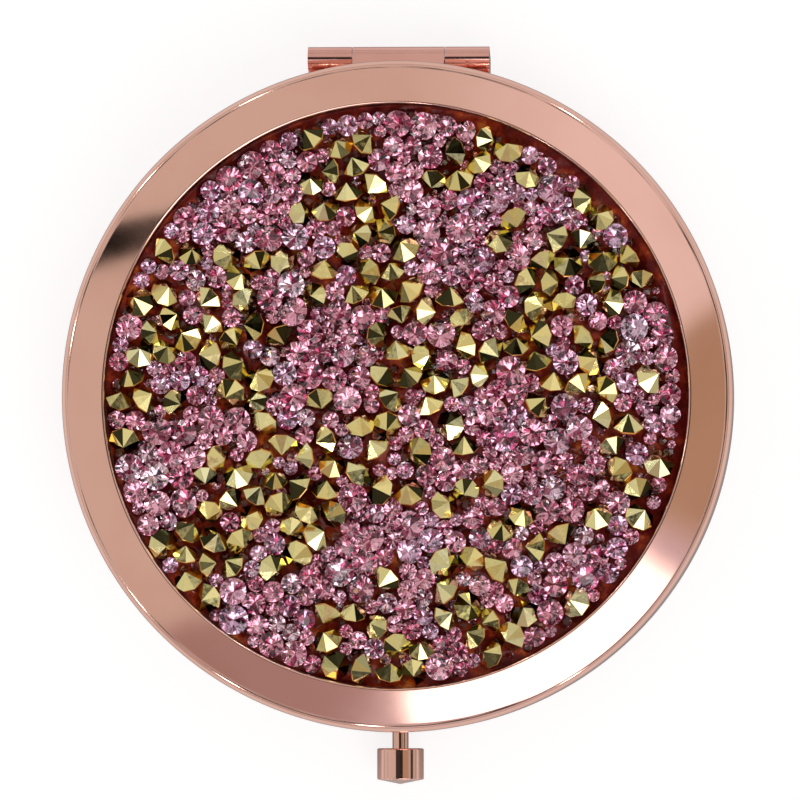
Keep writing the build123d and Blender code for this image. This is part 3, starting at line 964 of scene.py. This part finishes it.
def satin_disc():
    """Satin back of the puff: it follows the stuffed pad and gathers towards its seam."""
    count, reach = 320, SEAM_R + 0.15
    radii = np.concatenate([np.linspace(0.6, reach - 1.2, 44), np.linspace(reach - 1.0, reach, 8)])
    angles = [2 * math.pi * i / count for i in range(count)]
    heights = []
    for radius in radii:
        ring = np.array([pad_height(radius * math.cos(a), radius * math.sin(a)) for a in angles])
        heights.append((np.roll(ring, 1) + 2 * ring + np.roll(ring, -1)) / 4)
    heights = np.array(heights)
    heights[1:-1] = (heights[:-2] + 2 * heights[1:-1] + heights[2:]) / 4
    centre = float(heights[0].mean())
    points, faces = [(0, 0, centre + 0.03), (0, 0, centre + 0.13)], []
    for lift in (0.03, 0.13):
        for ring, radius in enumerate(radii):
            edge = max(0.0, (radius - reach * 0.62) / (reach * 0.38))
            tuck = 0.22 * max(0.0, (radius - reach + 0.5) / 0.5) ** 2
            for i, angle in enumerate(angles):
                way = Vector((math.cos(angle), math.sin(angle), 0))
                depth = 0.13 * (0.7 + noise.noise(way * 5.0)) * edge**1.8
                fold = depth * math.cos(58 * angle + 3.4 * noise.noise(way * 2.7))
                height = heights[ring][i] + lift + fold + 0.02 - tuck
                points.append((radius * way.x, radius * way.y, height))
    rings = len(radii)
    for layer in (0, 1):
        start = 2 + layer * rings * count
        for i in range(count):
            j = (i + 1) % count
            faces.append((layer, start + j, start + i) if layer == 0 else (layer, start + i, start + j))
            for ring in range(rings - 1):
                a, b = start + ring * count, start + (ring + 1) * count
                quad = (a + i, b + i, b + j, a + j)
                faces.append(quad if layer else quad[::-1])
    low_edge, high_edge = 2 + (rings - 1) * count, 2 + (2 * rings - 1) * count
    for i in range(count):
        j = (i + 1) % count
        faces.append((low_edge + i, low_edge + j, high_edge + j, high_edge + i))
    look = satin("puff_satin", (0.86, 0.52, 0.49), (0.72, 0.37, 0.35), 0.16, "X")
    return mesh_object("puff_satin_disc", np.array(points) * MM, faces, [look]), reach


disc_piece, satin_reach = satin_disc()
place_piece(disc_piece, "base", "satin", "puff_satin_back")
disc_surface = BVHTree.FromObject(disc_piece, bpy.context.evaluated_depsgraph_get())


def satin_height(x, y):
    """Height in mm of the satin's upper side."""
    hit = disc_surface.ray_cast(Vector((x * MM, y * MM, 1.0)), Vector((0, 0, -1)))[0]
    return hit.z / MM


STITCHES = 116
STITCH_PATH = (  # share of the way along, how far inside the satin's edge, and height over the satin
    (0.0, 0.85, -0.10),
    (0.12, 0.82, 0.05),
    (0.5, 0.70, 0.09),
    (0.88, 0.58, 0.05),
    (1.0, 0.55, -0.10),
)


def seam_stitches(reach):
    """Short oblique stitches round the satin's edge."""
    points, faces = [], []
    for i in range(STITCHES):
        path = []
        for share, inset, lift in STITCH_PATH:
            a = 2 * math.pi * (i + 0.66 * share) / STITCHES
            x, y = (reach - inset) * math.cos(a), (reach - inset) * math.sin(a)
            path.append((x, y, satin_height(x, y) + lift))
        tube, skin = tube_mesh(path, 0.085, 8)
        faces += [tuple(len(points) + k for k in f) for f in skin]
        points += tube
    thread = plain_matte("sewing_thread", (0.90, 0.72, 0.66), (0.74, 0.52, 0.46), 0.2, 0.6, 0.02)
    return mesh_object("puff_stitches", points, faces, [thread])


stitches = seam_stitches(satin_reach)
place_piece(stitches, "base", "satin")


def taut(heights):
    """Upper hull of a row of heights, as a ribbon pulled over them lies."""
    hull = []
    for k, height in enumerate(heights):
        while len(hull) > 1:
            (a, low), (b, middle) = hull[-2], hull[-1]
            if (middle - low) * (k - a) <= (height - low) * (b - a):
                hull.pop()
            else:
                break
        hull.append((k, height))
    return np.interp(range(len(heights)), [k for k, _ in hull], [h for _, h in hull])


RIBBON_ROWS = 281


def ribbon_band():
    """Ribbon pulled over the puff's back, its ends caught in the seam, with ribs across and corded edges."""
    half_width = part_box("puff_ribbon")[1].x / MM
    across = np.linspace(-half_width, half_width, 53)
    share = np.linspace(-1, 1, RIBBON_ROWS)
    limit = np.sqrt((satin_reach - 0.25) ** 2 - across**2)
    rest = np.array([taut([satin_height(x, y * far) for y in share]) for x, far in zip(across, limit)]).T
    for _ in range(3):
        rest[:, 1:-1] = (rest[:, :-2] + 2 * rest[:, 1:-1] + rest[:, 2:]) / 4
    slack = 0.16 * (1 - share**2)[:, None] * np.cos(across / half_width * math.pi / 2.6)[None, :]
    ribs = 0.018 * np.cos(np.arange(RIBBON_ROWS) * math.pi / 1.5)[:, None]
    cord = 0.07 * np.exp(-((np.abs(across) - half_width + 0.25) / 0.22) ** 2)[None, :]
    tuck = -0.12 * np.clip((np.abs(share) - 0.985) / 0.015, 0, 1)[:, None]
    under = rest + slack + 0.02 + tuck
    over = under + 0.13 + ribs + cord
    x, y = np.broadcast_to(across, rest.shape), share[:, None] * limit[None, :]
    layers = np.concatenate([np.stack([x, y, z], axis=-1).reshape(-1, 3) for z in (under, over)])
    rows, cols = rest.shape
    size = rows * cols
    faces = []
    for i in range(rows - 1):
        for j in range(cols - 1):
            a = i * cols + j
            faces.append((a, a + cols, a + cols + 1, a + 1))
            faces.append((size + a, size + a + 1, size + a + cols + 1, size + a + cols))
    rim = [j for j in range(cols)] + [i * cols + cols - 1 for i in range(1, rows)]
    rim += [(rows - 1) * cols + j for j in range(cols - 2, -1, -1)]
    rim += [i * cols for i in range(rows - 2, 0, -1)]
    for k, a in enumerate(rim):
        b = rim[(k + 1) % len(rim)]
        faces.append((a, b, size + b, size + a))
    look = satin("ribbon_weave", (0.60, 0.25, 0.23), (0.44, 0.15, 0.14), 0.45, "Y")
    return mesh_object("puff_ribbon_band", layers * MM, faces, [look])


band = ribbon_band()
place_piece(band, "base", "ribbon", "puff_ribbon")


# ---------- button spring ----------


def coil_spring():
    """Compression spring with closed end turns, between the hook and its bracket."""
    low, high = (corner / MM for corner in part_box("button_spring"))
    wire = 0.1
    reach = high.x - wire
    middle = (low.z + high.z) / 2
    span = high.y - low.y - 2 * wire
    turns, steps = 4.5, 150
    path = []
    for k in range(steps + 1):
        t = k / steps
        eased = t + 0.075 * math.sin(2 * math.pi * t) * -1
        a = 2 * math.pi * turns * t
        path.append((reach * math.cos(a), low.y + wire + span * eased, middle + reach * math.sin(a)))
    points, faces = tube_mesh(path, wire, 10)
    return mesh_object("button_coil", points, faces, [spring_wire]), high.y


coil, seat_y = coil_spring()
place_piece(coil, "base", "spring_steel", "button_spring")
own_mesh(coil)


# ---------- stage, light and camera ----------


def pale_floor():
    """White floor. The camera sees it evenly lit. To other rays it glows with painted light, which fades
    towards the object into a painted contact shadow.
    """
    material, g, look = new_material("pale_floor")
    mottle = g.noise(g.where(), 60.0, 2.0)
    look("Base Color", g.mix(mottle, (0.30, 0.30, 0.30), (0.32, 0.32, 0.32)))
    look("Roughness", 0.9)
    look("Specular IOR Level", 0.1)
    look("Emission Color", (1.0, 1.0, 1.0, 1.0))
    # Painted light and shadow: the floor glows for reflected rays, dimmer near the object as a painted
    # contact shadow.
    away = g.add("VectorMath", operation="LENGTH")
    g.put(away.inputs[0], g.where())
    far = g.ease(away.outputs["Value"], 0.036, 0.052, 0.10, 0.50)
    seen = g.add("LightPath").outputs["Is Camera Ray"]
    glow = g.math("MULTIPLY_ADD", seen, g.math("SUBTRACT", 0.80, far), far)
    look("Emission Strength", glow)
    side, z = 3.0, -0.03 * MM
    corners = [(-side, -side, z), (side, -side, z), (side, side, z), (-side, side, z)]
    mesh_object("floor", corners, [(0, 1, 2, 3)], [material], False)


pale_floor()


ROOM = (0.65, 0.60, 0.55)
WALLS = (  # from and to in degrees from +X, each with how soft its edge is, and the wall's colour
    (-140, 3, -100, 5, (0.40, 0.30, 0.30)),  # a dark curtain in front, on the left
    (-100, 12, -25, 6, (0.60, 0.55, 0.65)),  # a lilac-grey wall behind the softbox
    (-25, 5, 20, 3, (0.45, 0.35, 0.25)),  # a brown cupboard on the right
    (20, 3, 80, 20, (0.85, 0.80, 0.80)),  # a bright wall behind, on the right
)
SOFTBOX_GLOW = 2.2
PIN_GLOW = 16.0
PIN_HALF_W = 1.8
PIN_LIGHTS = (  # azimuth from +X and angle from straight up, in degrees
    (62, 70), (118, 67), (140, 72), (168, 66), (215, 69), (236, 71), (262, 68), (300, 73)
)


def studio():
    """Soft studio: plain walls, one large softbox in front on the right, a dark camera and stand overhead."""
    world = bpy.data.worlds.new("studio")
    bpy.context.scene.world = world
    world.use_nodes = True
    tree = world.node_tree
    tree.nodes.clear()
    g = Graph(tree)
    way = g.add("TexCoord").outputs["Generated"]
    split = g.add("SeparateXYZ")
    g.put(split.inputs[0], way)
    x, y, z = split.outputs
    turn = g.math("ARCTAN2", y, x)
    azimuth = g.math("MULTIPLY", turn, 180 / math.pi)
    polar = g.math("MULTIPLY", g.math("ARCCOSINE", z), 180 / math.pi)
    ring = ROOM
    for low, low_soft, high, high_soft, colour in WALLS:
        start = g.ease(azimuth, low - low_soft, low + low_soft)
        end = g.ease(azimuth, high - high_soft, high + high_soft, 1.0, 0.0)
        ring = g.mix(g.math("MULTIPLY", start, end), ring, colour)
    ring = g.mix(g.ease(polar, 38, 50, 0.0, 0.6), ring, (0.66, 0.64, 0.63))

    across = g.math("ADD", g.math("MULTIPLY", polar, g.math("COSINE", turn)), 3.0)
    up = g.math("MULTIPLY", g.math("MULTIPLY", polar, g.math("SINE", turn)), 1.5)
    squared = g.math("MULTIPLY_ADD", across, across, g.math("MULTIPLY", up, up))
    overhead = g.ease(g.math("SQRT", squared), 16.5, 18.5, 0.07)
    sway = g.math("MULTIPLY_ADD", polar, 0.33, 139.2)
    off_axis = g.math("ABSOLUTE", g.math("SUBTRACT", azimuth, sway))
    stand = g.math("SUBTRACT", 1.0, g.math("MULTIPLY", g.ease(off_axis, 5.0, 3.2), g.ease(polar, 46, 41)))
    clutter = g.add("TexVoronoi", feature="F1")
    clutter.inputs["Scale"].default_value = 11.0
    g.put(clutter.inputs["Vector"], way)
    patch = g.ease(clutter.outputs["Color"], 0.36, 0.40, 0.14, 1.0)
    low_wall = g.window(polar, 48, 63, 2.0)
    level = g.math("SUBTRACT", 1.0, g.math("MULTIPLY", low_wall, g.math("SUBTRACT", 1.0, patch)))
    gap = g.math("MULTIPLY", g.window(polar, 59.5, 68, 1.2), g.window(azimuth, -128, 34, 6.0))
    level = g.math("MULTIPLY", level, g.math("MULTIPLY_ADD", gap, -0.88, 1.0))
    level = g.math("MULTIPLY", level, g.ease(polar, 78, 84, 1.0, 0.8))
    level = g.math("MULTIPLY", g.math("MULTIPLY", level, overhead), stand)

    edge = g.math("MULTIPLY_ADD", polar, 0.267, g.ease(polar, 37, 44, 0.0, 18.0))
    slanted = g.ease(g.math("SUBTRACT", azimuth, edge), -104.8, -98.8)
    wide = g.math("MULTIPLY", slanted, g.ease(azimuth, -37, -31, 1.0, 0.0))
    softbox = g.math("MULTIPLY", wide, g.window(polar, 13.5, 57, 2.0))
    glow = g.math("MULTIPLY", softbox, SOFTBOX_GLOW)
    for pin_turn, pin_polar in PIN_LIGHTS:
        signed = pin_turn - 360 if pin_turn > 180 else pin_turn
        pin = g.math("MULTIPLY", g.window(azimuth, signed - PIN_HALF_W, signed + PIN_HALF_W, 0.6),
                     g.window(polar, pin_polar - PIN_HALF_W, pin_polar + PIN_HALF_W, 0.6))
        glow = g.math("MULTIPLY_ADD", pin, PIN_GLOW, glow)

    lit = g.add("Background")
    g.put(lit.inputs["Color"], ring)
    g.put(lit.inputs["Strength"], level)
    boxes = g.add("Background")
    boxes.inputs["Color"].default_value = (1.0, 0.985, 0.97, 1.0)
    g.put(boxes.inputs["Strength"], glow)
    both = g.add("AddShader")
    g.put(both.inputs[0], lit.outputs[0])
    g.put(both.inputs[1], boxes.outputs[0])
    pale = g.add("Background")
    pale.inputs["Color"].default_value = (1.0, 1.0, 1.0, 1.0)
    shown = g.add("MixShader")
    g.put(shown.inputs[0], g.add("LightPath").outputs["Is Camera Ray"])
    g.put(shown.inputs[1], both.outputs[0])
    g.put(shown.inputs[2], pale.outputs[0])
    out = tree.nodes.new("ShaderNodeOutputWorld")
    g.put(out.inputs["Surface"], shown.outputs[0])


studio()

scene = bpy.context.scene
scene.view_settings.view_transform = "Standard"
scene.view_settings.look = "None"

CAMERA_WAY = Vector((0.052, -0.028, 0.998)).normalized()
CAMERA_FAR = 0.9
VIEW_WIDTH = 0.0832
VIEW_MIDDLE = Vector((0.000395, -0.000447, 0.0125))


def make_camera():
    lens = bpy.data.cameras.new("camera")
    lens.sensor_width = 36.0
    lens.lens = lens.sensor_width * CAMERA_FAR / VIEW_WIDTH
    lens.clip_start = 0.01
    lens.clip_end = 20.0
    camera = bpy.data.objects.new("camera", lens)
    scene.collection.objects.link(camera)
    up = (Vector((0, 1, 0)) - CAMERA_WAY * CAMERA_WAY.y).normalized()
    right = up.cross(CAMERA_WAY)
    turn = Matrix((right, up, CAMERA_WAY)).transposed()
    camera.matrix_world = Matrix.Translation(VIEW_MIDDLE + CAMERA_WAY * CAMERA_FAR) @ turn.to_4x4()
    scene.camera = camera


make_camera()
